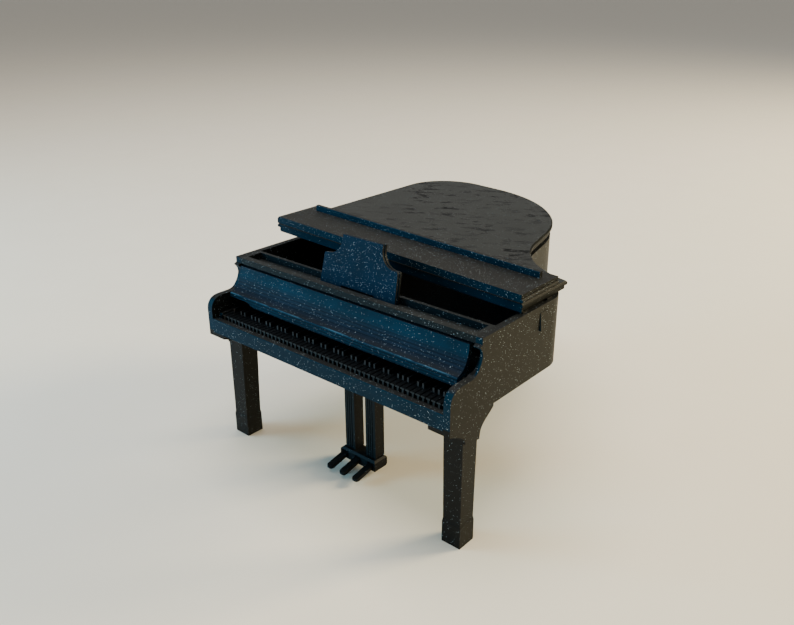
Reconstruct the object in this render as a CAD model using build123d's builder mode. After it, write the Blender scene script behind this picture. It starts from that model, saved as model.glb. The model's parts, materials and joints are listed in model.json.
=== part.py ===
from build123d import *
import os
from math import cos, radians, sin, tan

# Miniature grand piano, 1:24, in millimetres.
# The origin is on the floor under the middle of the piano. +X is the treble side,
# +Y runs from the keyboard to the tail, +Z is up.

os.makedirs("parts", exist_ok=True)

# ---- the case -------------------------------------------------------------------
case_width = 62.0
overall_length = 77.0
half_width = case_width / 2
front = -overall_length / 2
case_length = 76.6
rim_bottom = 26.0
rim_top = 39.5
rim_wall = 1.4
inner_half_width = half_width - rim_wall
floor_thickness = 1.0

# The plan of the case: headings are in degrees from +X, and the curve runs from the
# treble corner round the bentside and the tail.
treble_depth = 30.15
corner_radius = 5.8
corner_turn = 60.0
shoulder_run = 5.0
hollow_radius = 18.7
flank_heading = 103.5
bulge_radius = 27.0
tail_radius = 12.0

# The arms, seen from the side: depth behind the front plane, and height.
arm_front_top = 30.2
shoulder_height = 33.0
shoulder_back = 5.4
cove_depth = 8.4
cove_waist = 36.2
arm_nose_height = 38.0
arm_nose_depth = 7.5
arm_back = 8.2
bracket_depth = 12.2
arm_skin = 0.45
plate_depth = 25.7
plate_width = 2.4
plate_bottom = 34.75
plate_top = 38.2
plate_proud = 0.35

# ---- keybed, keys and shelf -------------------------------------------------------
keybed_bottom = 25.6
keybed_top = 27.5
key_slip_top = 28.55
key_slip_depth = 0.9
key_slip_back = 1.75
belly_rail_front = 13.0
belly_rail_back = 13.7
white_count = 52
white_pitch = 1.108
white_gap = 0.24
white_front = 1.95
white_top = 29.1
white_back = 8.6
black_front = 4.1
black_top = 30.0
black_width = 0.38
key_lip = 0.32
key_narrowing = 0.46
shelf_bottom = 38.25
ledge_depth = 9.65
groove_floor = 38.15
groove_half_width = 28.8

# ---- fallboard --------------------------------------------------------------------
fallboard_left = -29.45
fallboard_right = 28.6
fallboard_top = 37.85
nose_left = -24.6
nose_slope = 2.2
fallboard_pivot_depth = 6.4
fallboard_pivot_height = 32.1
fallboard_pin_radius = 0.4
running_clearance = 0.05

# ---- legs and lyre ----------------------------------------------------------------
foot_size = 4.0
foot_height = 4.3
flare_height = 0.7
leg_size = 4.1
ankle_size = 3.75
leg_foot_x = 28.7
leg_foot_depth = 6.1
leg_top_x = 28.5
leg_top_depth = 6.35
leg_shaft_top = 24.0
head_width = 4.5
head_thickness = 1.2
rear_leg_x = -17.5
rear_leg_depth = 65.0
peg_size = 1.6
peg_length = 0.7
lyre_box_half_width = 4.3
lyre_box_front = 10.6
lyre_box_back = 14.3
lyre_box_bottom = 1.2
lyre_box_top = 3.4
post_size = 2.6
post_offset = 2.8
pedal_pitch = 3.5
pedal_width = 1.4
pedal_tip_depth = 5.8
pedal_tail_depth = 13.5
pedal_pivot_depth = 12.8
pedal_pivot_height = 2.3
pedal_rod_radius = 0.25

# ---- lid --------------------------------------------------------------------------
lid_tilt = 2.1
lid_rest_gap = 0.35
lid_front = 20.2
lid_left = -31.4
lid_right = 30.6
lid_tip_depth = 35.2
lid_tip_heading = 173.0
lid_hollow_radius = 17.8
lid_bulge_radius = 27.4
lid_tail_radius = 12.3
board_thickness = 1.6
board_step = 0.75
board_inset = 0.35
board_groove = 0.12
flap_depth = 12.0
lip_offset = 8.6
lip_thickness = 0.9
lip_height = 1.2
lip_half_length = 28.4
flap_rod_radius = 0.12
hinge_x = -30.1
hinge_height = 40.75
hinge_radius = 0.8
hinge_pin_radius = 0.35
hinge_length = 6.0
hinge_depths = (30.0, 45.0, 60.0)

# ---- lid prop ---------------------------------------------------------------------
prop_depth = 27.0
prop_length = 33.1
prop_pivot_run = 56.0
prop_pivot_drop = 0.9
prop_size = 1.0
prop_pin_radius = 0.25

# ---- music desk -------------------------------------------------------------------
desk_lean = 12.5
desk_foot_depth = 11.45
desk_thickness = 1.2
desk_front_plate = 0.4
desk_valley = 0.3
desk_half_foot = 9.5
desk_half_shoulder = 9.2
desk_half_top = 5.0
desk_shoulder = 5.95
desk_shoulder_width = 1.2
desk_height = 10.05


def at(depth):
    """Y of a point that lies the given depth behind the front plane."""
    return front + depth


# ---- planes that tilted pieces are drawn on ---------------------------------------
lid_origin_height = rim_top + lid_rest_gap + half_width * tan(radians(lid_tilt))
lid_plane = Plane(
    origin=(0, 0, lid_origin_height),
    x_dir=(cos(radians(lid_tilt)), 0, -sin(radians(lid_tilt))),
    z_dir=(sin(radians(lid_tilt)), 0, cos(radians(lid_tilt))),
)
along_lid = Axis((0, 0, 0), lid_plane.x_dir)
side_plane = Plane.YZ


# ---- case rim ---------------------------------------------------------------------
def case_outline():
    """The closed plan of the case, as edges."""
    corner_heading = 90 + corner_turn
    hollow_turn = corner_heading - flank_heading
    bulge_rise = bulge_radius * (1 + cos(radians(flank_heading)))
    with BuildLine() as outline:
        treble = Line((half_width, at(0)), (half_width, at(treble_depth)))
        corner = JernArc(treble @ 1, (0, 1), corner_radius, corner_turn)
        shoulder = Line(corner @ 1, (corner @ 1) + (corner % 1) * shoulder_run)
        hollow = JernArc(shoulder @ 1, shoulder % 1, hollow_radius, -hollow_turn)
        flank_rise = at(case_length) - bulge_rise - (hollow @ 1).Y
        flank_length = flank_rise / sin(radians(flank_heading))
        flank = Line(hollow @ 1, (hollow @ 1) + (hollow % 1) * flank_length)
        bulge = JernArc(flank @ 1, flank % 1, bulge_radius, 180 - flank_heading)
        tail = Line(bulge @ 1, (-half_width + tail_radius, (bulge @ 1).Y))
        spine = JernArc(tail @ 1, (-1, 0), tail_radius, 90)
        Line(spine @ 1, (-half_width, at(0)))
        Line((-half_width, at(0)), (half_width, at(0)))
    return outline.edges()


with BuildSketch() as case_plan:
    make_face(case_outline())

with BuildSketch() as case_inside:
    add(case_plan.sketch)
    offset(amount=-rim_wall, mode=Mode.REPLACE)

with BuildPart() as case_rim:
    with BuildSketch(Plane.XY.offset(rim_bottom)):
        add(case_plan.sketch)
        add(case_inside.sketch, mode=Mode.SUBTRACT)
        with Locations((0, at(0))):
            Rectangle(2 * inner_half_width, 4 * rim_wall, mode=Mode.SUBTRACT)
    extrude(amount=rim_top - rim_bottom)
    # The arms' front profile: upright front, rounded shoulder, cove and nose.
    with BuildSketch(side_plane):
        with BuildLine():
            Line((at(0), rim_bottom - 1), (at(0), arm_front_top))
            Spline(
                (at(0), arm_front_top),
                (at(1.1), shoulder_height - 0.45),
                (at(3.2), shoulder_height),
                tangents=((0, 1), (1, 0)),
            )
            Line((at(3.2), shoulder_height), (at(shoulder_back), shoulder_height))
            Spline(
                (at(shoulder_back), shoulder_height),
                (at(7.5), shoulder_height + 1.1),
                (at(cove_depth), cove_waist),
                (at(arm_nose_depth), arm_nose_height),
                tangents=((1, 0), (-1, 0.8)),
            )
            Line((at(arm_nose_depth), arm_nose_height), (at(arm_back), arm_nose_height + 0.35))
            Line((at(arm_back), arm_nose_height + 0.35), (at(arm_back), rim_top + 1))
            Polyline(
                (at(arm_back), rim_top + 1),
                (at(-2), rim_top + 1),
                (at(-2), rim_bottom - 1),
                (at(0), rim_bottom - 1),
            )
        make_face()
    extrude(amount=case_width, both=True, mode=Mode.SUBTRACT)
    # Behind the cove the treble arm is hollowed out beside the fallboard, which leaves
    # a thin outer wall.
    with BuildSketch(Plane.YZ.offset(inner_half_width)):
        with BuildLine():
            Line((at(3.0), shoulder_height + 0.3), (at(6.9), shoulder_height + 0.3))
            Spline(
                (at(6.9), shoulder_height + 0.3),
                (at(8.9), shoulder_height + 1.4),
                (at(9.6), cove_waist),
                (at(8.9), arm_nose_height - 0.4),
                tangents=((1, 0), (-1, 0.8)),
            )
            Line((at(8.9), arm_nose_height - 0.4), (at(3.0), arm_nose_height - 0.4))
            Line((at(3.0), arm_nose_height - 0.4), (at(3.0), shoulder_height + 0.3))
        make_face()
    extrude(amount=rim_wall - arm_skin, mode=Mode.SUBTRACT)
    # A small raised plate on the treble side, where the prop bears: it stands out
    # more at its foot than at its top.
    with BuildSketch(Plane.XZ.offset(-at(plate_depth))):
        with BuildLine():
            Polyline(
                (half_width - 0.2, plate_bottom),
                (half_width + plate_proud, plate_bottom),
                (half_width + 0.08, plate_top),
                (half_width - 0.2, plate_top),
                close=True,
            )
        make_face()
    extrude(amount=-plate_width)
case_rim.part.label = "case_rim"
export_step(case_rim.part, "parts/case_rim.step")

# ---- case floor -------------------------------------------------------------------
with BuildPart() as case_floor:
    with BuildSketch(Plane.XY.offset(rim_bottom)):
        add(case_inside.sketch)
        with Locations((0, at(0))):
            Rectangle(case_width, 2 * belly_rail_front, mode=Mode.SUBTRACT)
    extrude(amount=floor_thickness)
    # Socket for the rear leg's peg.
    with BuildSketch(Plane.XY.offset(rim_bottom)):
        with Locations((rear_leg_x, at(rear_leg_depth))):
            Rectangle(peg_size + 0.1, peg_size + 0.1)
    extrude(amount=peg_length + 0.05, mode=Mode.SUBTRACT)
case_floor.part.label = "case_floor"
export_step(case_floor.part, "parts/case_floor.step")

# ---- keybed, with the sockets for the front legs' pegs ------------------------------
with BuildPart() as keybed:
    with BuildSketch(Plane.XY.offset(keybed_bottom)):
        with Locations((0, at((key_slip_depth + belly_rail_front) / 2))):
            Rectangle(2 * inner_half_width, belly_rail_front - key_slip_depth)
    extrude(amount=keybed_top - keybed_bottom)
    with BuildSketch(Plane.XY.offset(keybed_bottom)):
        with Locations((leg_top_x - 0.3, at(leg_top_depth)), (-leg_top_x + 0.3, at(leg_top_depth))):
            Rectangle(peg_size + 0.1, peg_size + 0.1)
    extrude(amount=peg_length + 0.05, mode=Mode.SUBTRACT)
keybed.part.label = "keybed"
export_step(keybed.part, "parts/keybed.step")

# ---- key slip: the long strip in front of the keys, with a step along its top --------
with BuildPart() as key_slip:
    with BuildSketch(side_plane):
        with BuildLine():
            Polyline(
                (at(0), keybed_bottom),
                (at(0), key_slip_top - 0.12),
                (at(0.12), key_slip_top),
                (at(key_slip_depth), key_slip_top),
                (at(key_slip_depth), key_slip_top - 0.3),
                (at(key_slip_back), key_slip_top - 0.3),
                (at(key_slip_back), keybed_top),
                (at(key_slip_depth), keybed_top),
                (at(key_slip_depth), keybed_bottom),
                close=True,
            )
        make_face()
    extrude(amount=inner_half_width, both=True)
key_slip.part.label = "key_slip"
export_step(key_slip.part, "parts/key_slip.step")

# ---- key blocks at the two ends of the keyboard --------------------------------------
key_run = white_count * white_pitch
block_width = inner_half_width - key_run / 2
with BuildPart() as key_block_left:
    with BuildSketch(Plane.XY.offset(keybed_top)):
        with Locations((-inner_half_width + block_width / 2, at((key_slip_back + white_back) / 2))):
            Rectangle(block_width, white_back - key_slip_back)
    extrude(amount=white_top + 0.15 - keybed_top)
    chamfer(key_block_left.edges().filter_by(Axis.X).group_by(Axis.Z)[-1].sort_by(Axis.Y)[0], 0.25)
key_block_left.part.label = "key_block_left"
export_step(key_block_left.part, "parts/key_block_left.step")

with BuildPart() as key_block_right:
    add(mirror(key_block_left.part, about=Plane.YZ, mode=Mode.PRIVATE))
key_block_right.part.label = "key_block_right"
export_step(key_block_right.part, "parts/key_block_right.step")

# ---- white keys: one comb, cut into keys with overhanging lips ------------------------
slot_centres = [(-key_run / 2 + white_pitch * i, at(0)) for i in range(1, white_count)]
with BuildPart() as white_keys:
    with BuildSketch(Plane.XY.offset(keybed_top)):
        with Locations((0, at((white_front + white_back) / 2))):
            Rectangle(key_run - white_gap, white_back - white_front)
    extrude(amount=white_top - keybed_top)
    # The slots between the keys stop short of the rail that joins them at the back.
    with BuildSketch(Plane.XY.offset(keybed_top + 0.3)):
        with Locations(*[(x, at((white_front + 7.6) / 2 - 0.5)) for x, y in slot_centres]):
            Rectangle(white_gap, 7.6 - white_front + 1.0)
    extrude(amount=white_top, mode=Mode.SUBTRACT)
    # Under the lips the key fronts are set back and narrower.
    with BuildSketch(Plane.XY.offset(keybed_top + 0.3)):
        with Locations(*[(x, at(white_front + 0.5)) for x, y in slot_centres]):
            Rectangle(white_gap + key_narrowing, 1.0)
        with Locations((0, at(white_front))):
            Rectangle(key_run, 0.2)
    extrude(amount=white_top - key_lip - keybed_top - 0.3, mode=Mode.SUBTRACT)
white_keys.part.label = "white_keys"
export_step(white_keys.part, "parts/white_keys.step")


# ---- black keys: a second comb behind, in groups of two and three ----------------------
def has_sharp(index):
    """True where a black key stands between white keys index and index + 1."""
    # The lowest white key is an A: the order from there is A B C D E F G.
    return index % 7 in (0, 2, 3, 5, 6)


sharp_x = [-key_run / 2 + white_pitch * (i + 1) for i in range(white_count - 1) if has_sharp(i)]
with BuildPart() as black_keys:
    with BuildSketch(Plane.XY.offset(white_top)):
        with Locations(*[(x, at((black_front + 8.3) / 2)) for x in sharp_x]):
            Rectangle(black_width, 8.3 - black_front)
        with Locations((0, at(8.15))):
            Rectangle(key_run - white_gap, 0.5)
    extrude(amount=black_top - white_top)
black_keys.part.label = "black_keys"
export_step(black_keys.part, "parts/black_keys.step")

# ---- belly rail: the upright board that closes the case behind the action --------------
with BuildPart() as belly_rail:
    with BuildSketch(Plane.XY.offset(rim_bottom)):
        with Locations((0, at((belly_rail_front + belly_rail_back) / 2))):
            Rectangle(2 * inner_half_width, belly_rail_back - belly_rail_front)
    extrude(amount=rim_top - rim_bottom)
    # The floor plate runs under the rail's back half.
    with BuildSketch(Plane.XY.offset(rim_bottom)):
        with Locations((0, at(belly_rail_back))):
            Rectangle(case_width, 2 * (belly_rail_back - belly_rail_front))
    extrude(amount=floor_thickness, mode=Mode.SUBTRACT)
belly_rail.part.label = "belly_rail"
export_step(belly_rail.part, "parts/belly_rail.step")

# ---- music shelf: front ledge and the groove that the lid's lip drops into -------------
with BuildPart() as music_shelf:
    with BuildSketch(side_plane):
        with BuildLine():
            Polyline(
                (at(arm_back), shelf_bottom),
                (at(arm_back), rim_top),
                (at(belly_rail_front), rim_top),
                (at(belly_rail_front), shelf_bottom - 0.8),
                (at(ledge_depth), shelf_bottom - 0.8),
                (at(ledge_depth), shelf_bottom),
                close=True,
            )
        make_face()
    extrude(amount=inner_half_width, both=True)
    with BuildSketch(Plane.XY.offset(groove_floor)):
        with Locations((0, at((ledge_depth + belly_rail_front) / 2))):
            Rectangle(2 * groove_half_width, belly_rail_front - ledge_depth)
    extrude(amount=rim_top, mode=Mode.SUBTRACT)
music_shelf.part.label = "music_shelf"
export_step(music_shelf.part, "parts/music_shelf.step")

# ---- fallboard: a cove-shaped board that turns down over the keys ----------------------
with BuildPart() as fallboard:
    with BuildSketch(Plane.YZ.offset(fallboard_left)):
        with BuildLine():
            cove = Spline(
                (at(5.0), 33.0),
                (at(6.9), 34.25),
                (at(7.75), 36.1),
                (at(7.95), fallboard_top),
                tangents=((1, 0.2), (0, 1)),
            )
            Line(cove @ 1, (at(8.85), fallboard_top))
            back = Spline(
                (at(8.85), fallboard_top),
                (at(8.75), 35.9),
                (at(7.9), 33.7),
                (at(7.1), 32.75),
                tangents=((0, -1), (-1, -1)),
            )
            Polyline(back @ 1, (at(7.1), 31.5), (at(5.75), 31.5), (at(4.75), 32.1), (at(4.75), 32.8), cove @ 0)
        make_face()
    extrude(amount=fallboard_right - fallboard_left)
    # The nose strip under the cove: its bass end slopes up and stops short of the arm.
    with BuildSketch(Plane.XZ.offset(-at(4.75))):
        with BuildLine():
            Polyline(
                (nose_left, 32.2),
                (nose_left + nose_slope, 31.3),
                (fallboard_right, 31.3),
                (fallboard_right, 32.2),
                close=True,
            )
        make_face()
    extrude(amount=-1.15)
    # Bores for the two pivot pins.
    with BuildSketch(Plane.YZ.offset(fallboard_left)):
        with Locations((at(fallboard_pivot_depth), fallboard_pivot_height)):
            Circle(fallboard_pin_radius + running_clearance)
    extrude(amount=2.0, mode=Mode.SUBTRACT)
    with BuildSketch(Plane.YZ.offset(fallboard_right)):
        with Locations((at(fallboard_pivot_depth), fallboard_pivot_height)):
            Circle(fallboard_pin_radius + running_clearance)
    extrude(amount=-2.0, mode=Mode.SUBTRACT)
fallboard.part.label = "fallboard"
export_step(fallboard.part, "parts/fallboard.step")

# ---- fallboard pins, one in each arm -----------------------------------------------------
with BuildPart() as fallboard_pins:
    with BuildSketch(Plane.YZ.offset(-inner_half_width)):
        with Locations((at(fallboard_pivot_depth), fallboard_pivot_height)):
            Circle(fallboard_pin_radius)
    extrude(amount=1.9)
    with BuildSketch(Plane.YZ.offset(inner_half_width)):
        with Locations((at(fallboard_pivot_depth), fallboard_pivot_height)):
            Circle(fallboard_pin_radius)
    extrude(amount=-2.2)
fallboard_pins.part.label = "fallboard_pins"
export_step(fallboard_pins.part, "parts/fallboard_pins.step")


# ---- legs -------------------------------------------------------------------------------
def leg_shaft(x, depth, top_x, top_depth, top_height):
    """Square foot, a short flare, and a shaft that leans a little to its top."""
    with BuildPart() as shaft:
        with BuildSketch(Plane.XY):
            with Locations((x, at(depth))):
                Rectangle(foot_size, foot_size)
        extrude(amount=foot_height)
        with BuildSketch(Plane.XY.offset(foot_height)):
            with Locations((x, at(depth))):
                Rectangle(foot_size, foot_size)
        with BuildSketch(Plane.XY.offset(foot_height + flare_height)):
            with Locations((x, at(depth))):
                Rectangle(ankle_size, ankle_size)
        loft()
        with BuildSketch(Plane.XY.offset(foot_height + flare_height)):
            with Locations((x, at(depth))):
                Rectangle(ankle_size, ankle_size)
        with BuildSketch(Plane.XY.offset(top_height)):
            with Locations((top_x, at(top_depth))):
                Rectangle(leg_size, leg_size)
        loft()
    return shaft.part


front_shaft = leg_shaft(leg_foot_x, leg_foot_depth, leg_top_x, leg_top_depth, leg_shaft_top)
rear_shaft = leg_shaft(rear_leg_x, rear_leg_depth, rear_leg_x, rear_leg_depth, rim_bottom)

with BuildPart() as front_leg_right:
    add(front_shaft)
    # The leg's head: a block under the case with a cove before and behind the shaft.
    head_front = leg_top_depth - leg_size / 2 + 0.05
    head_back = leg_top_depth + leg_size / 2 - 0.05
    with BuildSketch(Plane.YZ.offset(half_width - head_width)):
        with BuildLine():
            Line((at(0), rim_bottom), (at(bracket_depth), rim_bottom))
            Line((at(bracket_depth), rim_bottom), (at(bracket_depth), rim_bottom - 0.5))
            Spline(
                (at(bracket_depth), rim_bottom - 0.5),
                (at(10.1), rim_bottom - 2.0),
                (at(8.9), rim_bottom - 3.1),
                (at(head_back), rim_bottom - 5.2),
                tangents=((-1, -0.9), (-0.1, -1)),
            )
            Line((at(head_back), rim_bottom - 5.2), (at(head_front), rim_bottom - 4.5))
            Spline(
                (at(head_front), rim_bottom - 4.5),
                (at(3.1), rim_bottom - 2.6),
                (at(0), rim_bottom - head_thickness),
                tangents=((0, 1), (-1, 0.35)),
            )
            Line((at(0), rim_bottom - head_thickness), (at(0), rim_bottom))
        make_face()
    extrude(amount=head_width)
    # The inner part of the head is lowered to fit under the keybed.
    with BuildSketch(Plane.XY.offset(keybed_bottom)):
        with Locations((inner_half_width - 2.5, at(bracket_depth / 2))):
            Rectangle(5.0, bracket_depth + 2)
    extrude(amount=2.0, mode=Mode.SUBTRACT)
    with BuildSketch(Plane.XY.offset(keybed_bottom)):
        with Locations((leg_top_x - 0.3, at(leg_top_depth))):
            Rectangle(peg_size, peg_size)
    extrude(amount=peg_length)
front_leg_right.part.label = "front_leg_right"
export_step(front_leg_right.part, "parts/front_leg_right.step")

with BuildPart() as front_leg_left:
    add(mirror(front_leg_right.part, about=Plane.YZ, mode=Mode.PRIVATE))
front_leg_left.part.label = "front_leg_left"
export_step(front_leg_left.part, "parts/front_leg_left.step")

with BuildPart() as rear_leg:
    add(rear_shaft)
    with BuildSketch(Plane.XY.offset(rim_bottom)):
        with Locations((rear_leg_x, at(rear_leg_depth))):
            Rectangle(peg_size, peg_size)
    extrude(amount=peg_length)
rear_leg.part.label = "rear_leg"
export_step(rear_leg.part, "parts/rear_leg.step")

# ---- pedal lyre ---------------------------------------------------------------------------
post_depth = lyre_box_back - post_size / 2


def lyre_post(x):
    """A square post from the lyre box up to the keybed, fluted on its front."""
    with BuildPart() as post:
        with BuildSketch(Plane.XY.offset(lyre_box_top)):
            with Locations((x, at(post_depth - 0.1))):
                Rectangle(post_size, post_size)
            with Locations(*[(x + i * 0.55, at(post_depth - 0.1 - post_size / 2)) for i in (-1, 0, 1)]):
                Rectangle(0.2, 0.24, mode=Mode.SUBTRACT)
        extrude(amount=keybed_bottom - lyre_box_top)
    return post.part


left_post = lyre_post(-post_offset)
with BuildPart() as lyre_post_left:
    add(left_post)
lyre_post_left.part.label = "lyre_post_left"
export_step(lyre_post_left.part, "parts/lyre_post_left.step")

right_post = lyre_post(post_offset)
with BuildPart() as lyre_post_right:
    add(right_post)
lyre_post_right.part.label = "lyre_post_right"
export_step(lyre_post_right.part, "parts/lyre_post_right.step")

pedal_x = (-pedal_pitch, 0, pedal_pitch)
with BuildPart() as lyre_box:
    with BuildSketch(Plane.XY.offset(lyre_box_bottom)):
        with Locations((0, at((lyre_box_front + lyre_box_back) / 2))):
            Rectangle(2 * lyre_box_half_width + 0.9, lyre_box_back - lyre_box_front)
    extrude(amount=lyre_box_top - lyre_box_bottom)
    chamfer(lyre_box.edges().group_by(Axis.Z)[-1].filter_by(Axis.Y), 0.4)
    chamfer(lyre_box.edges().group_by(Axis.Z)[-1].sort_by(Axis.Y)[0], 0.4)
    fillet(lyre_box.edges().filter_by(Axis.X).group_by(Axis.Y)[-1], 0.5)
    # A slot for each pedal, open at the front, and the bore for the rod.
    with BuildSketch(Plane.XY.offset(1.45)):
        with Locations(*[(x, at(12.15)) for x in pedal_x]):
            Rectangle(pedal_width + 0.2, 3.5)
    extrude(amount=1.5, mode=Mode.SUBTRACT)
    with BuildSketch(Plane.YZ.offset(-4.5)):
        with Locations((at(pedal_pivot_depth), pedal_pivot_height)):
            Circle(pedal_rod_radius)
    extrude(amount=9.0, mode=Mode.SUBTRACT)
lyre_box.part.label = "lyre_box"
export_step(lyre_box.part, "parts/lyre_box.step")

with BuildPart() as pedal_rod:
    with BuildSketch(Plane.YZ.offset(-4.45)):
        with Locations((at(pedal_pivot_depth), pedal_pivot_height)):
            Circle(pedal_rod_radius)
    extrude(amount=8.9)
pedal_rod.part.label = "pedal_rod"
export_step(pedal_rod.part, "parts/pedal_rod.step")


def pedal(x):
    """A flat pedal with a rounded toe, sloping down from the rod to the player."""
    with BuildPart() as lever:
        with BuildSketch(Plane.YZ.offset(x - pedal_width / 2)):
            with BuildLine():
                Polyline(
                    (at(pedal_tail_depth), 2.75),
                    (at(11.4), 2.7),
                    (at(6.4), 1.75),
                    (at(pedal_tip_depth), 1.55),
                    (at(pedal_tip_depth), 1.05),
                    (at(6.6), 0.95),
                    (at(10.4), 1.75),
                    (at(12.2), 1.85),
                    (at(pedal_tail_depth), 1.85),
                    close=True,
                )
            make_face()
        extrude(amount=pedal_width)
        with BuildSketch(Plane.YZ.offset(x - pedal_width / 2)):
            with Locations((at(pedal_pivot_depth), pedal_pivot_height)):
                Circle(pedal_rod_radius + running_clearance)
        extrude(amount=pedal_width, mode=Mode.SUBTRACT)
        fillet(lever.edges().filter_by(Axis.Z).group_by(Axis.Y)[0], 0.5)
    return lever.part


left_lever = pedal(pedal_x[0])
with BuildPart() as pedal_left:
    add(left_lever)
pedal_left.part.label = "pedal_left"
export_step(pedal_left.part, "parts/pedal_left.step")

middle_lever = pedal(pedal_x[1])
with BuildPart() as pedal_middle:
    add(middle_lever)
pedal_middle.part.label = "pedal_middle"
export_step(pedal_middle.part, "parts/pedal_middle.step")

right_lever = pedal(pedal_x[2])
with BuildPart() as pedal_right:
    add(right_lever)
pedal_right.part.label = "pedal_right"
export_step(pedal_right.part, "parts/pedal_right.step")


# ---- main lid -------------------------------------------------------------------------------
def lid_outline():
    """The closed plan of the main lid, as edges."""
    turn = lid_tip_heading - flank_heading
    bulge_rise = lid_bulge_radius * (1 + cos(radians(flank_heading)))
    start = (cos(radians(lid_tip_heading)), sin(radians(lid_tip_heading)))
    with BuildLine() as outline:
        Line((lid_left, at(lid_front)), (lid_right, at(lid_front)))
        Line((lid_right, at(lid_front)), (lid_right, at(lid_tip_depth)))
        hollow = JernArc((lid_right, at(lid_tip_depth)), start, lid_hollow_radius, -turn)
        flank_rise = at(overall_length) - bulge_rise - (hollow @ 1).Y
        flank_length = flank_rise / sin(radians(flank_heading))
        flank = Line(hollow @ 1, (hollow @ 1) + (hollow % 1) * flank_length)
        bulge = JernArc(flank @ 1, flank % 1, lid_bulge_radius, 180 - flank_heading)
        tail = Line(bulge @ 1, (lid_left + lid_tail_radius, (bulge @ 1).Y))
        spine = JernArc(tail @ 1, (-1, 0), lid_tail_radius, 90)
        Line(spine @ 1, (lid_left, at(lid_front)))
    return outline.edges()


with BuildSketch() as lid_plan:
    make_face(lid_outline())

with BuildSketch() as lid_plan_inset:
    add(lid_plan.sketch)
    offset(amount=-board_inset, kind=Kind.INTERSECTION, mode=Mode.REPLACE)
    # The front edge is not stepped.
    with Locations((0, at(lid_front + board_inset / 2))):
        Rectangle(lid_right - lid_left - 2 * board_inset - 0.3, board_inset + 0.01)

with BuildSketch() as lid_plan_groove:
    add(lid_plan.sketch)
    offset(amount=-board_inset - 0.2, kind=Kind.INTERSECTION, mode=Mode.REPLACE)
    with Locations((0, at(lid_front + board_inset))):
        Rectangle(lid_right - lid_left - 2 * board_inset - 0.7, 2 * board_inset)

with BuildPart() as lid_main:
    with BuildSketch(lid_plane):
        add(lid_plan_inset.sketch)
    extrude(amount=board_step)
    with BuildSketch(lid_plane.offset(board_step)):
        add(lid_plan_groove.sketch)
    extrude(amount=board_groove)
    with BuildSketch(lid_plane.offset(board_step + board_groove)):
        add(lid_plan.sketch)
    extrude(amount=board_thickness - board_step - board_groove)
    # The upper edge is bevelled all round, but not where the flap lies on it.
    rounding = lid_main.faces().sort_by(Axis((0, 0, 0), lid_plane.z_dir))[-1].edges()
    chamfer([edge for edge in rounding if edge.center().Y > at(lid_front) + 0.1], 0.3)
    # Half-round seat for the flap's hinge rod along the front edge.
    with BuildSketch(Plane(lid_plane.location * Location((lid_left, 0, 0), (0, 90, 0)))):
        with Locations((-board_thickness, at(lid_front))):
            Circle(flap_rod_radius)
    extrude(amount=lid_right - lid_left, mode=Mode.SUBTRACT)
lid_main.part.label = "lid_main"
export_step(lid_main.part, "parts/lid_main.step")

# ---- front flap, folded back on the main lid ---------------------------------------------------
def flap_layer(height, thickness, inset):
    """One layer of the flap: its height above the lid's underside, and its treble inset."""
    with BuildPart() as layer:
        with BuildSketch(lid_plane.offset(height)):
            with Locations(((lid_left + lid_right - inset) / 2, at(lid_front + flap_depth / 2))):
                Rectangle(lid_right - lid_left - inset, flap_depth)
        extrude(amount=thickness)
    return layer.part


lowest_layer = flap_layer(board_thickness, 0.25, 0.25)
widest_layer = flap_layer(board_thickness + 0.25, board_thickness - 0.25 - board_step, 0.0)
groove_layer = flap_layer(2 * board_thickness - board_step, board_groove, board_inset + 0.25)
top_layer = flap_layer(2 * board_thickness - board_step + board_groove, board_step - board_groove, board_inset)
with BuildPart() as lid_flap:
    add(lowest_layer)
    add(widest_layer)
    add(groove_layer)
    add(top_layer)
    chamfer(lid_flap.edges().filter_by(Axis.Y).sort_by(Axis.X)[-1], 0.3)
    flap_top = lid_flap.faces().sort_by(Axis((0, 0, 0), lid_plane.z_dir))[-1]
    chamfer(flap_top.edges().filter_by(Axis.Y).sort_by(Axis.X)[0], 0.5)
    with BuildSketch(Plane(lid_plane.location * Location((lid_left, 0, 0), (0, 90, 0)))):
        with Locations((-board_thickness, at(lid_front))):
            Circle(flap_rod_radius + running_clearance)
    extrude(amount=lid_right - lid_left, mode=Mode.SUBTRACT)
lid_flap.part.label = "lid_flap"
export_step(lid_flap.part, "parts/lid_flap.step")

# ---- the flap's lip: it stands up while the flap is folded back ---------------------------------
with BuildPart() as flap_lip:
    with BuildSketch(lid_plane.offset(2 * board_thickness)):
        with Locations((0, at(lid_front + lip_offset + lip_thickness / 2))):
            Rectangle(2 * lip_half_length, lip_thickness)
    extrude(amount=lip_height)
    chamfer(flap_lip.edges().filter_by(along_lid).group_by(Axis.Z)[-1], 0.12)
flap_lip.part.label = "flap_lip"
export_step(flap_lip.part, "parts/flap_lip.step")

# ---- hinge rod along the front edge of the lid ----------------------------------------------------
with BuildPart() as flap_hinge_rod:
    with BuildSketch(Plane(lid_plane.location * Location((lid_left + 0.5, 0, 0), (0, 90, 0)))):
        with Locations((-board_thickness, at(lid_front))):
            Circle(flap_rod_radius)
    extrude(amount=lid_right - lid_left - 1.0)
flap_hinge_rod.part.label = "flap_hinge_rod"
export_step(flap_hinge_rod.part, "parts/flap_hinge_rod.step")

# ---- lid hinges on the bass side --------------------------------------------------------------------
knuckle = 1.5
knuckle_gap = 0.1


def hinge_plane(depth):
    """A plane across the hinge axis, its X to the treble side and its Y up."""
    return Plane(origin=(hinge_x, at(depth), hinge_height), x_dir=(1, 0, 0), z_dir=(0, -1, 0))


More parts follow.
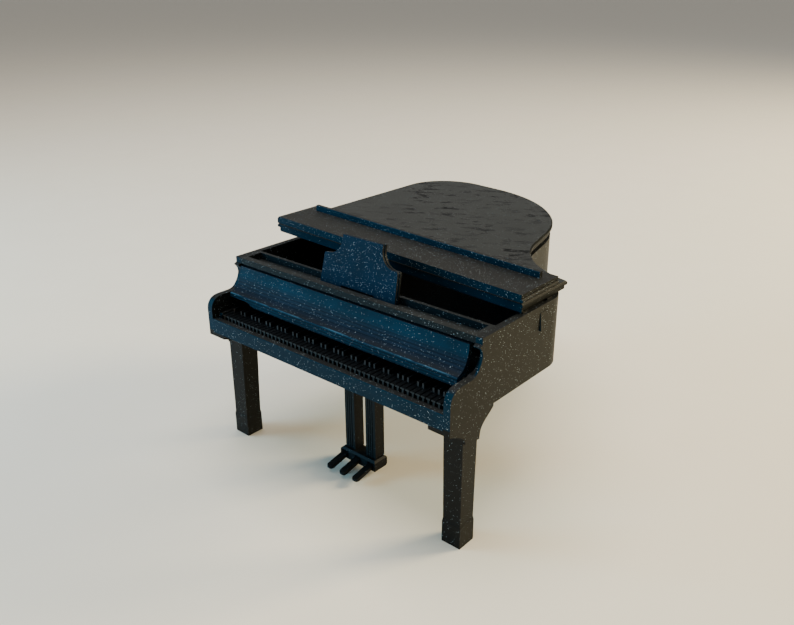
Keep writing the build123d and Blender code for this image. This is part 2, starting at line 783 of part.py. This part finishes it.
with BuildPart() as lid_hinge_case_leaves:
    for depth in hinge_depths:
        with BuildSketch(Plane.XY.offset(rim_top)):
            with Locations((hinge_x - 0.1, at(depth))):
                Rectangle(1.4, hinge_length)
        extrude(amount=0.4)
        for end in (depth - hinge_length / 2 + knuckle, depth + hinge_length / 2):
            with BuildSketch(hinge_plane(end - knuckle)):
                Circle(hinge_radius)
                with Locations((0, (rim_top - hinge_height) / 2)):
                    Rectangle(2 * hinge_radius - 0.3, hinge_height - rim_top)
                Circle(hinge_pin_radius, mode=Mode.SUBTRACT)
            extrude(amount=-knuckle)
lid_hinge_case_leaves.part.label = "lid_hinge_case_leaves"
export_step(lid_hinge_case_leaves.part, "parts/lid_hinge_case_leaves.step")

middle_knuckle = hinge_length - 2 * knuckle - 2 * knuckle_gap
lid_under_height = lid_origin_height - hinge_x * tan(radians(lid_tilt))
leaf_rise = (lid_under_height - hinge_height) * cos(radians(lid_tilt))
with BuildPart() as lid_hinge_lid_leaves:
    for depth in hinge_depths:
        with BuildSketch(lid_plane):
            with Locations((hinge_x + 2.0, at(depth))):
                Rectangle(4.6, middle_knuckle)
        extrude(amount=-0.3)
        neck_plane = Plane(
            origin=(hinge_x, at(depth - middle_knuckle / 2), hinge_height),
            x_dir=lid_plane.x_dir,
            z_dir=(0, -1, 0),
        )
        with BuildSketch(neck_plane):
            Circle(hinge_radius)
            with Locations((0, (leaf_rise - 0.1) / 2)):
                Rectangle(0.6, leaf_rise - 0.1)
            Circle(hinge_pin_radius + running_clearance, mode=Mode.SUBTRACT)
        extrude(amount=-middle_knuckle)
lid_hinge_lid_leaves.part.label = "lid_hinge_lid_leaves"
export_step(lid_hinge_lid_leaves.part, "parts/lid_hinge_lid_leaves.step")

with BuildPart() as lid_hinge_pins:
    for depth in hinge_depths:
        with BuildSketch(hinge_plane(depth - hinge_length / 2)):
            Circle(hinge_pin_radius)
        extrude(amount=-hinge_length)
lid_hinge_pins.part.label = "lid_hinge_pins"
export_step(lid_hinge_pins.part, "parts/lid_hinge_pins.step")

# ---- lid bumpers: small pads on the rim under the treble edge -----------------------------------------
with BuildPart() as lid_bumpers:
    with BuildSketch(Plane.XY.offset(rim_top)):
        with Locations((30.05, at(21.5)), (30.05, at(29.5))):
            Rectangle(0.8, 1.6)
    extrude(amount=lid_rest_gap - 0.02)
lid_bumpers.part.label = "lid_bumpers"
export_step(lid_bumpers.part, "parts/lid_bumpers.step")

# ---- lid prop: folds flat under the lid and swings down to the treble side ------------------------------
tilt = radians(lid_tilt)
pivot_x = hinge_x + prop_pivot_run * cos(tilt) + (leaf_rise - prop_pivot_drop) * sin(tilt)
pivot_z = hinge_height - prop_pivot_run * sin(tilt) + (leaf_rise - prop_pivot_drop) * cos(tilt)


def prop_plane(depth):
    """A plane across the prop's pin, its X along the lid and its Y up from it."""
    return Plane(origin=(pivot_x, at(depth), pivot_z), x_dir=lid_plane.x_dir, z_dir=(0, -1, 0))


with BuildPart() as lid_prop:
    with BuildSketch(prop_plane(prop_depth - prop_size / 2)):
        with Locations((-prop_length / 2, 0)):
            SlotOverall(prop_length + prop_size, prop_size)
        Circle(prop_pin_radius + running_clearance, mode=Mode.SUBTRACT)
    extrude(amount=-prop_size)
lid_prop.part.label = "lid_prop"
export_step(lid_prop.part, "parts/lid_prop.step")

with BuildPart() as prop_bracket:
    for near in (prop_depth - prop_size / 2 - 0.7, prop_depth + prop_size / 2 + 0.1):
        with BuildSketch(prop_plane(near)):
            with Locations((0, prop_pivot_drop / 2 - 0.25)):
                Rectangle(1.2, prop_pivot_drop + 0.5)
            Circle(prop_pin_radius, mode=Mode.SUBTRACT)
        extrude(amount=-0.6)
prop_bracket.part.label = "prop_bracket"
export_step(prop_bracket.part, "parts/prop_bracket.step")

with BuildPart() as prop_pin:
    with BuildSketch(prop_plane(prop_depth - prop_size / 2 - 0.7)):
        Circle(prop_pin_radius)
    extrude(amount=-(prop_size + 1.4))
prop_pin.part.label = "prop_pin"
export_step(prop_pin.part, "parts/prop_pin.step")

# The socket for the prop's foot, inside the treble side: a back plate and two cheeks.
with BuildPart() as prop_socket:
    with BuildSketch(Plane.XY.offset(37.2)):
        with Locations((inner_half_width - 0.1, at(prop_depth))):
            Rectangle(0.2, 2.8)
        with Locations(
            (inner_half_width - 0.65, at(prop_depth - 1.05)),
            (inner_half_width - 0.65, at(prop_depth + 1.05)),
        ):
            Rectangle(1.3, 0.7)
    extrude(amount=2.1)
prop_socket.part.label = "prop_socket"
export_step(prop_socket.part, "parts/prop_socket.step")

# ---- music desk: stands in the groove and leans on the belly rail ------------------------------------------
desk_tilt = radians(desk_lean)
desk_plane = Plane(
    origin=(0, at(desk_foot_depth), groove_floor + 0.03 + desk_thickness * sin(desk_tilt)),
    x_dir=(1, 0, 0),
    z_dir=(0, -cos(desk_tilt), sin(desk_tilt)),
)


def desk_outline(inset):
    """The desk's outline: rounded shoulders, two hollow corners and a flat top."""
    foot = desk_half_foot - inset
    wide = desk_half_shoulder - inset
    top = desk_half_top - inset
    shoulder = desk_shoulder - inset
    corner = wide - desk_shoulder_width
    height = desk_height - inset
    arc_top = height - 0.6
    sag = 0.29
    with BuildLine() as outline:
        Line((-foot, inset), (foot, inset))
        for side in (1, -1):
            Line((side * foot, inset), (side * wide, shoulder - 0.4))
            ThreePointArc(
                (side * wide, shoulder - 0.4),
                (side * (wide - 0.12), shoulder - 0.12),
                (side * (wide - 0.4), shoulder),
            )
            Line((side * (wide - 0.4), shoulder), (side * corner, shoulder))
            ThreePointArc(
                (side * corner, shoulder),
                (side * (top + (corner - top) * sag), shoulder + (arc_top - shoulder) * sag),
                (side * top, arc_top),
            )
            Line((side * top, arc_top), (side * top, height))
        Line((-top, height), (top, height))
    return outline.edges()


with BuildPart() as music_desk:
    with BuildSketch(desk_plane):
        make_face(desk_outline(0.0))
        with Locations((0.2, 0)):
            Rectangle(8.4, 0.8, mode=Mode.SUBTRACT)
    extrude(amount=-desk_front_plate)
    with BuildSketch(desk_plane.offset(-desk_front_plate)):
        make_face(desk_outline(0.3))
    extrude(amount=-desk_valley)
    with BuildSketch(desk_plane.offset(-desk_front_plate - desk_valley)):
        make_face(desk_outline(0.0))
        with Locations((0.2, 0)):
            Rectangle(8.4, 0.8, mode=Mode.SUBTRACT)
    extrude(amount=-(desk_thickness - desk_front_plate - desk_valley))
music_desk.part.label = "music_desk"
export_step(music_desk.part, "parts/music_desk.step")

# ---- joint figures, for the assembly's record -----------------------------------------------------------------
print("lid hinge axis", round(hinge_x, 3), round(hinge_height, 3))
print("flap hinge height at x = 0", round(lid_origin_height + board_thickness / cos(tilt), 3))
print("prop pivot", round(pivot_x, 3), round(at(prop_depth), 3), round(pivot_z, 3))
print("fallboard pivot", round(at(fallboard_pivot_depth), 3), fallboard_pivot_height)
print("pedal pivot", round(at(pedal_pivot_depth), 3), pedal_pivot_height)
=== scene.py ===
import json
import math

import bpy
from mathutils import Matrix, Vector

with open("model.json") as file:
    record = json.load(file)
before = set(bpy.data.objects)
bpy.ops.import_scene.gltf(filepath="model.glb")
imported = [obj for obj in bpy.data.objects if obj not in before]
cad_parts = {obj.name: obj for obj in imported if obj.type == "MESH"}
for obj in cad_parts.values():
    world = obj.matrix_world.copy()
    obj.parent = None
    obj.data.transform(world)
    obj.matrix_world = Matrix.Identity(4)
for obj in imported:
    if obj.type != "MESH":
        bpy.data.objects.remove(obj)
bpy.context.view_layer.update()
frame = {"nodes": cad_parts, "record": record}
nodes = frame["nodes"]

# ---- camera ---------------------------------------------------------------------------------
# The camera stands in front of the treble corner, a little above the lid, and looks
# down at the piano from there. Lengths of the lens and the sensor are in mm.
camera_place = Vector((0.09598, -0.12605, 0.09329))
camera_azimuth = math.radians(40.95)
camera_elevation = math.radians(23.18)
camera_roll = math.radians(-0.27)
camera_lens = 36.1029
sensor_width = 36.0


def aim_camera():
    """Create the camera from its place, azimuth, elevation and roll."""
    back = Vector((
        math.sin(camera_azimuth) * math.cos(camera_elevation),
        -math.cos(camera_azimuth) * math.cos(camera_elevation),
        math.sin(camera_elevation),
    ))
    right = Vector((math.cos(camera_azimuth), math.sin(camera_azimuth), 0.0))
    up = back.cross(right)
    rolled_right = right * math.cos(camera_roll) + up * math.sin(camera_roll)
    rolled_up = up * math.cos(camera_roll) - right * math.sin(camera_roll)
    turn = Matrix((rolled_right, rolled_up, back)).transposed().to_4x4()
    data = bpy.data.cameras.new("camera")
    data.lens = camera_lens
    data.sensor_width = sensor_width
    data.clip_start = 0.005
    camera = bpy.data.objects.new("camera", data)
    camera.matrix_world = Matrix.Translation(camera_place) @ turn
    bpy.context.collection.objects.link(camera)
    bpy.context.scene.camera = camera


aim_camera()


# ---- a short way to write materials ---------------------------------------------------------
class Nodes:
    """A new material and its node tree."""

    def __init__(self, name):
        self.material = bpy.data.materials.new(name)
        self.material.use_nodes = True
        self.tree = self.material.node_tree
        self.shader = self.tree.nodes["Principled BSDF"]
        where = self.new("ShaderNodeTexCoord")
        self.place = where.outputs["Object"]
        self.facing = where.outputs["Normal"]

    def new(self, kind, **settings):
        node = self.tree.nodes.new(kind)
        for key, value in settings.items():
            setattr(node, key, value)
        return node

    def put(self, value, socket):
        """Link the value to the socket if it comes from another node, and set it otherwise."""
        if isinstance(value, bpy.types.NodeSocket):
            self.tree.links.new(value, socket)
        elif isinstance(value, tuple) and len(value) == 3 and socket.type == "RGBA":
            socket.default_value = (*value, 1.0)
        else:
            socket.default_value = value

    def split(self, vector):
        node = self.new("ShaderNodeSeparateXYZ")
        self.put(vector, node.inputs[0])
        return node.outputs

    def math(self, operation, a, b=0.0, clamp=False):
        node = self.new("ShaderNodeMath", operation=operation, use_clamp=clamp)
        self.put(a, node.inputs[0])
        self.put(b, node.inputs[1])
        return node.outputs[0]

    def times(self, a, b):
        return self.math("MULTIPLY", a, b)

    def plus(self, a, b):
        return self.math("ADD", a, b)

    def mix(self, share, a, b):
        """The colour a where the share is 0 and b where it is 1."""
        node = self.new("ShaderNodeMix", data_type="RGBA")
        self.put(share, node.inputs[0])
        self.put(a, node.inputs[6])
        self.put(b, node.inputs[7])
        return node.outputs[2]

    def ramp(self, value, start, end):
        """0 before the start and 1 past the end; the end may lie below the start."""
        node = self.new("ShaderNodeMapRange", clamp=True)
        self.put(value, node.inputs["Value"])
        node.inputs["From Min"].default_value = start
        node.inputs["From Max"].default_value = end
        return node.outputs[0]

    def noise(self, scale, detail, roughness, stretch=(1, 1, 1), heading=0.0, lobe=0):
        """Noise drawn out along a heading in degrees; the lobe picks another part of it."""
        mapping = self.new("ShaderNodeMapping", vector_type="TEXTURE")
        self.put(self.place, mapping.inputs["Vector"])
        mapping.inputs["Location"].default_value = (0.01 * lobe, 0.02 * lobe, 0.03 * lobe)
        mapping.inputs["Rotation"].default_value = (0.0, 0.0, math.radians(heading))
        mapping.inputs["Scale"].default_value = stretch
        node = self.new("ShaderNodeTexNoise")
        self.put(mapping.outputs[0], node.inputs["Vector"])
        self.put(scale, node.inputs["Scale"])
        self.put(detail, node.inputs["Detail"])
        self.put(roughness, node.inputs["Roughness"])
        return node.outputs["Fac"]


def darker(colour, share):
    return tuple(share * value for value in colour)


# ---- printed plastic ------------------------------------------------------------------------
layer_height = 0.0002
layer_wobble = 2.5
bump_distance = 0.00005

fleck_spacing = 0.00016
fleck_radius = 0.30  # in spacings
fleck_colour = (0.75, 0.90, 0.98)

dent_heading = 41.0
dent_depth = 6.0

# Heights on the fallboard in mm above the floor: where the painted shade at the foot of the
# cove begins and is complete, and the edge above the nose strip, where a painted highlight runs.
cove_foot_start = 36.0
cove_foot_full = 34.8
nose_edge = 32.95
# The colour of the cove's foot is painted shade, and the colour along the nose is a painted
# highlight.
cove_foot_shade_colour = (0.010, 0.015, 0.034)
cove_stripe_colour = (0.001, 0.006, 0.014)
nose_highlight_colour = (0.05, 0.14, 0.22)


def add_flecks(n, density):
    """How strongly a bright grain shows: some cells of a fine pattern hold one."""
    cells = n.new("ShaderNodeTexVoronoi", feature="F1")
    n.put(n.place, cells.inputs["Vector"])
    n.put(1.0 / fleck_spacing, cells.inputs["Scale"])
    # A cell's colour also tells where its grain sits, so the choice is drawn anew from it.
    draw = n.new("ShaderNodeTexWhiteNoise", noise_dimensions="3D")
    n.put(cells.outputs["Color"], draw.inputs["Vector"])
    tone = n.new("ShaderNodeSeparateColor")
    n.put(draw.outputs["Color"], tone.inputs[0])
    chosen = n.math("GREATER_THAN", tone.outputs["Red"], 1.0 - density)
    core = n.math("LESS_THAN", cells.outputs["Distance"], fleck_radius)
    strength = n.math("POWER", tone.outputs["Green"], 3.0)
    return n.times(n.times(chosen, core), strength)


def add_dents(n, upward):
    """Short dents and scrapes where the top surface of the print didn't close."""
    scrape = n.noise(420, 4.0, 0.7, (1.9, 0.9, 1.0), heading=dent_heading, lobe=5)
    dent = n.ramp(scrape, 0.51, 0.60)
    patch = n.ramp(n.noise(75, 1.0, 0.5, lobe=2), 0.40, 0.60)
    patch = n.plus(n.times(patch, 0.65), 0.35)
    return n.times(n.times(dent, patch), upward)


def shade_cove(n, base, front, height, waves):
    """The cove is painted darker towards its foot, a painted shade, with layer stripes there, and
    a painted highlight edges the nose.
    """
    height = n.times(height, 1000.0)
    foot = n.ramp(height, cove_foot_start, cove_foot_full)
    # Painted shade: the foot of the cove turns darker.
    base = n.mix(n.times(foot, 0.7), base, cove_foot_shade_colour)
    nose = n.ramp(height, nose_edge, nose_edge - 0.1)
    base = n.mix(nose, base, front)
    stripes = n.ramp(n.math("SINE", n.times(waves, 0.37)), -0.1, 0.7)
    stripes = n.times(n.times(stripes, foot), 0.75)
    base = n.mix(stripes, base, cove_stripe_colour)
    # Painted highlight: a bright line along the nose edge.
    distance = n.math("ABSOLUTE", n.plus(height, -nose_edge))
    nose_highlight = n.ramp(distance, 0.12, 0.04)
    broken = n.ramp(n.noise(260, 3.0, 0.6, lobe=9), 0.4, 0.6)
    return n.mix(n.times(nose_highlight, broken), base, nose_highlight_colour)


def printed_plastic(
    name, front, side, top, layers=0.25, flecks=1.0, density=0.18, gloss=0.42, specular=0.25,
    wall_specular=0.12, front_sheen=1.0, dented=False, cove=False
):
    """Dark filament plastic: layer lines on the walls, pale glitter flecks, uneven gloss.

    The walls facing the player have the front colour, the other walls the side colour and
    the faces that look up the top colour. These colours by facing are painted light over the
    plastic's own dark colour: a painted cool light on the front, a painted warm reflection on
    the sides and a painted reflection of the room on top. specular is the sheen of the faces
    that look up, wall_specular that of the walls, and front_sheen the share of it that the
    front keeps.
    """
    n = Nodes(name)
    height_of_point = n.split(n.place)["Z"]
    facing = n.split(n.facing)
    forward = n.ramp(facing["Y"], -0.25, -0.7)
    upward = n.ramp(facing["Z"], 0.80, 0.95)

    waves = n.times(height_of_point, 2 * math.pi / layer_height)
    waves = n.plus(waves, n.times(n.noise(160, 3.0, 0.55), layer_wobble))
    ridges = n.times(n.plus(n.times(n.math("SINE", waves), 0.5), 0.5), layers)
    grain = n.noise(4200, 2.0, 0.6)
    blotch = n.ramp(n.noise(120, 4.0, 0.6, lobe=3), 0.3, 0.75)

    # Painted light: each wall takes the front or side colour by the way it faces, for the cool
    # front light and the warm side reflection.
    base = n.mix(forward, side, front)
    if cove:
        base = shade_cove(n, base, front, height_of_point, waves)
    base = n.mix(ridges, base, darker(front, 0.2))
    # Painted reflection: faces that look up take the top colour.
    base = n.mix(upward, base, top)
    base = n.mix(n.times(blotch, 0.45), base, darker(side, 0.4))
    height = n.plus(ridges, n.times(grain, 0.35))
    sheen = n.plus(n.times(upward, specular - wall_specular), wall_specular)
    sheen = n.times(sheen, n.plus(n.times(forward, front_sheen - 1.0), 1.0))
    if dented:
        dents = add_dents(n, upward)
        # The dents are also painted darker, a painted shade in the pits, beside their real depth
        # and lower sheen.
        base = n.mix(dents, base, darker(top, 0.1))
        height = n.math("SUBTRACT", height, n.times(dents, dent_depth))
        sheen = n.math("SUBTRACT", sheen, n.times(dents, 0.8 * specular))

    # The flecks are a little weaker away from the front.
    strong = n.plus(n.times(forward, 0.3 * flecks), 0.9 * flecks)
    fleck = n.math("MULTIPLY", add_flecks(n, density), strong, clamp=True)
    n.put(n.mix(fleck, base, fleck_colour), n.shader.inputs["Base Color"])
    n.put(n.plus(n.times(grain, 0.2), gloss), n.shader.inputs["Roughness"])
    n.put(sheen, n.shader.inputs["Specular IOR Level"])

    bump = n.new("ShaderNodeBump")
    bump.inputs["Strength"].default_value = 0.5
    bump.inputs["Distance"].default_value = bump_distance
    n.put(height, bump.inputs["Height"])
    n.put(bump.outputs[0], n.shader.inputs["Normal"])
    return n.material


# Facing colours of the plastics. The differences between front, side and top colours are painted
# light: cool light on the front walls, a warm reflection on the side walls and a reflection of
# the room on the top faces. unlit_key is painted shade on the keys.
petrol = (0.0020, 0.025, 0.048)
olive = (0.0045, 0.0050, 0.0030)
grey_top = (0.005, 0.006, 0.006)
unlit_key = (0.002, 0.003, 0.004)

case_plastic = printed_plastic(
    "case_plastic", petrol, olive, grey_top, layers=0.2, specular=0.22, front_sheen=0.5
)
leg_plastic = printed_plastic(
    "leg_plastic", (0.003, 0.0036, 0.0036), (0.0060, 0.0064, 0.0048), grey_top, flecks=0.7,
    density=0.12, specular=0.2
)
lyre_plastic = printed_plastic(
    "lyre_plastic", (0.0015, 0.011, 0.017), (0.001, 0.0014, 0.002), grey_top, flecks=0.5,
    density=0.06, specular=0.12
)
lid_plastic = printed_plastic(
    "lid_plastic", petrol, olive, (0.011, 0.013, 0.011), gloss=0.30, specular=0.47,
    wall_specular=0.03, flecks=0.5, density=0.08, dented=True
)
flap_plastic = printed_plastic(
    "flap_plastic", (0.003, 0.031, 0.060), olive, (0.006, 0.006, 0.005), gloss=0.40,
    specular=0.28, wall_specular=0.05, density=0.26
)
fallboard_plastic = printed_plastic(
    "fallboard_plastic", (0.003, 0.040, 0.082), (0.002, 0.006, 0.010), (0.006, 0.012, 0.020),
    layers=0.6, specular=0.10, wall_specular=0.07, density=0.14, flecks=0.8, cove=True
)
desk_plastic = printed_plastic(
    "desk_plastic", (0.003, 0.022, 0.052), (0.010, 0.012, 0.012), grey_top, layers=0.1,
    specular=0.12, wall_specular=0.05, density=0.30, flecks=0.75
)
shelf_plastic = printed_plastic(
    "shelf_plastic", (0.003, 0.013, 0.019), olive, (0.007, 0.009, 0.009), specular=0.26,
    wall_specular=0.2, front_sheen=0.6
)
# Painted light on the key fronts and painted shade on the key tops and sides, which lie under the
# fallboard.
key_plastic = printed_plastic(
    "key_plastic", (0.09, 0.09, 0.085), unlit_key, (0.001, 0.002, 0.003), specular=0.08,
    flecks=0.2
)
sharp_plastic = printed_plastic(
    "sharp_plastic", (0.08, 0.08, 0.08), unlit_key, unlit_key, specular=0.08, flecks=0.2
)
fitting_plastic = printed_plastic(
    "fitting_plastic", (0.004, 0.006, 0.008), olive, grey_top, flecks=0.5
)

material_of_slot = {
    "case": case_plastic,
    "legs": leg_plastic,
    "lid": lid_plastic,
    "fallboard": fallboard_plastic,
    "music_desk": desk_plastic,
    "white_keys": key_plastic,
    "black_keys": sharp_plastic,
    "pedals": lyre_plastic,
    "fittings": fitting_plastic,
    "hardware": fitting_plastic,
}
material_of_node = {
    "lid_flap": flap_plastic,
    "flap_lip": flap_plastic,
    "music_shelf": shelf_plastic,
    "belly_rail": shelf_plastic,
    "lyre_post_left": lyre_plastic,
    "lyre_post_right": lyre_plastic,
    "lyre_box": lyre_plastic,
}
for part in frame["record"]["subparts"]:
    slots = nodes[part["node"]].data.materials
    slots.clear()
    slots.append(material_of_node.get(part["node"], material_of_slot[part["material_slot"]]))


# ---- floor and light ------------------------------------------------------------------------
floor_reach = 4.0


def make_floor():
    """A wide cream table top with a painted pool of warm lamp light towards the treble side."""
    low = -floor_reach
    corners = [
        (low, low, 0), (floor_reach, low, 0), (floor_reach, floor_reach, 0), (low, floor_reach, 0)
    ]
    mesh = bpy.data.meshes.new("floor")
    mesh.from_pydata(corners, [], [(0, 1, 2, 3)])
    floor = bpy.data.objects.new("floor", mesh)
    bpy.context.collection.objects.link(floor)
    n = Nodes("floor")
    # Painted light: a warm pool of lamp light painted on the treble side of the table.
    lamp_pool = n.ramp(n.split(n.place)["X"], -0.05, 0.30)
    cream = n.mix(n.noise(60, 4.0, 0.6), (0.87, 0.81, 0.69), (0.91, 0.85, 0.74))
    n.put(n.mix(lamp_pool, cream, (0.97, 0.86, 0.58)), n.shader.inputs["Base Color"])
    n.shader.inputs["Roughness"].default_value = 0.55
    n.shader.inputs["Specular IOR Level"].default_value = 0.2
    mesh.materials.append(n.material)


make_floor()


def area_light(name, place, size, power, colour):
    """A square light that looks at the middle of the piano."""
    piano_middle = Vector((0, 0, 0.03))
    data = bpy.data.lights.new(name, "AREA")
    data.size = size
    data.energy = power
    data.color = colour
    light = bpy.data.objects.new(name, data)
    light.location = place
    light.rotation_euler = (piano_middle - Vector(place)).to_track_quat("-Z", "Y").to_euler()
    bpy.context.collection.objects.link(light)


area_light("window", (-0.28, -0.25, 0.13), 0.16, 0.98, (0.28, 0.70, 1.0))
area_light("lamp", (0.36, 0.50, 0.26), 0.20, 6.3, (1.0, 0.84, 0.52))
area_light("overhead", (-0.05, 0.00, 0.60), 0.5, 3.6, (1.0, 0.96, 0.90))

world = bpy.data.worlds.new("room")
world.use_nodes = True
background = world.node_tree.nodes["Background"]
background.inputs["Color"].default_value = (0.92, 0.92, 0.90, 1)
background.inputs["Strength"].default_value = 0.35
bpy.context.scene.world = world
